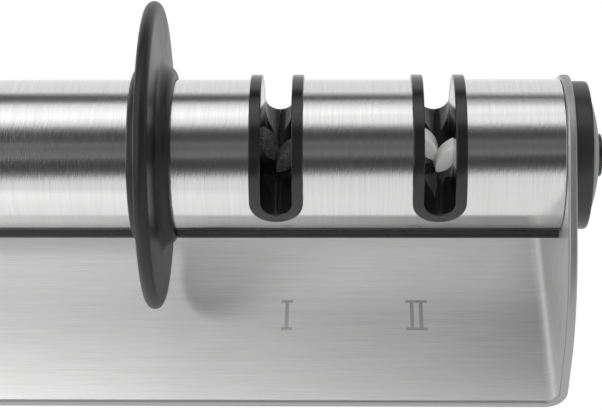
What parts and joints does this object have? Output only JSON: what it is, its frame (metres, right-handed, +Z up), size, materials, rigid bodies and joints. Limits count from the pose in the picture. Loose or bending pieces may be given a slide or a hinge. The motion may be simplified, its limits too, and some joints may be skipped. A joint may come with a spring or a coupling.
{
  "type": "knife sharpener",
  "caption": "Pull through knife sharpener: a brushed steel tube with crossed wheels in slots, a round finger guard and a U-shaped steel stand.",
  "frame": {"origin": "under the middle of the part, in the plane of the feet's soles", "axes": "+X along the tube towards the sharpening end, -Y towards the user, +Z up"},
  "size_m": [0.2252, 0.077, 0.081],
  "materials": {
    "brushed_sheet": "brushed lengthwise",
    "brushed_tube": "brushed round the tube",
    "core_plastic": "satin",
    "guard_plastic": "satin",
    "liner_plastic": "gloss inside, satin rim",
    "cradle_plastic": "matte",
    "spacer_plastic": "matte",
    "cap_plastic": "satin",
    "coarse_abrasive": "fine grit",
    "fine_ceramic": "unglazed ceramic",
    "pin_steel": "ground",
    "screw_steel": "turned",
    "insert_brass": "turned",
    "foot_rubber": "matte"
  },
  "bodies": {
    "stand_and_tube": {"stand": "brushed_sheet", "rubber_feet": "foot_rubber", "handle_sleeve": "brushed_tube", "work_sleeve": "brushed_tube", "handle_core": "core_plastic", "work_core": "core_plastic", "finger_guard": "guard_plastic", "coarse_liner_left": "liner_plastic", "coarse_liner_right": "liner_plastic", "fine_liner_left": "liner_plastic", "fine_liner_right": "liner_plastic", "coarse_cradle": "cradle_plastic", "fine_cradle": "cradle_plastic", "coarse_front_pin": "pin_steel", "coarse_rear_pin": "pin_steel", "fine_front_pin": "pin_steel", "fine_rear_pin": "pin_steel", "wheel_spacers": "spacer_plastic", "cradle_screws": "screw_steel", "threaded_inserts": "insert_brass", "end_screws": "screw_steel", "end_washers": "screw_steel", "left_end_cap": "cap_plastic", "right_end_cap": "cap_plastic", "screw_plugs": "cap_plastic"},
    "coarse_front_wheel": {"coarse_front_wheel": "coarse_abrasive"},
    "coarse_rear_wheel": {"coarse_rear_wheel": "coarse_abrasive"},
    "fine_front_wheel": {"fine_front_wheel": "fine_ceramic"},
    "fine_rear_wheel": {"fine_rear_wheel": "fine_ceramic"}
  },
  "joints": [
    {"name": "coarse_front_wheel_spin", "type": "hinge", "parent": "stand_and_tube", "child": "coarse_front_wheel", "pos_m": [0.0457, 0, 0.0446], "axis": [0, 1, 0], "continuous": true},
    {"name": "coarse_rear_wheel_spin", "type": "hinge", "parent": "stand_and_tube", "child": "coarse_rear_wheel", "pos_m": [0.0313, 0, 0.0446], "axis": [0, 1, 0], "continuous": true},
    {"name": "fine_front_wheel_spin", "type": "hinge", "parent": "stand_and_tube", "child": "fine_front_wheel", "pos_m": [0.0822, 0, 0.0446], "axis": [0, 1, 0], "continuous": true},
    {"name": "fine_rear_wheel_spin", "type": "hinge", "parent": "stand_and_tube", "child": "fine_rear_wheel", "pos_m": [0.0678, 0, 0.0446], "axis": [0, 1, 0], "continuous": true}
  ]
}
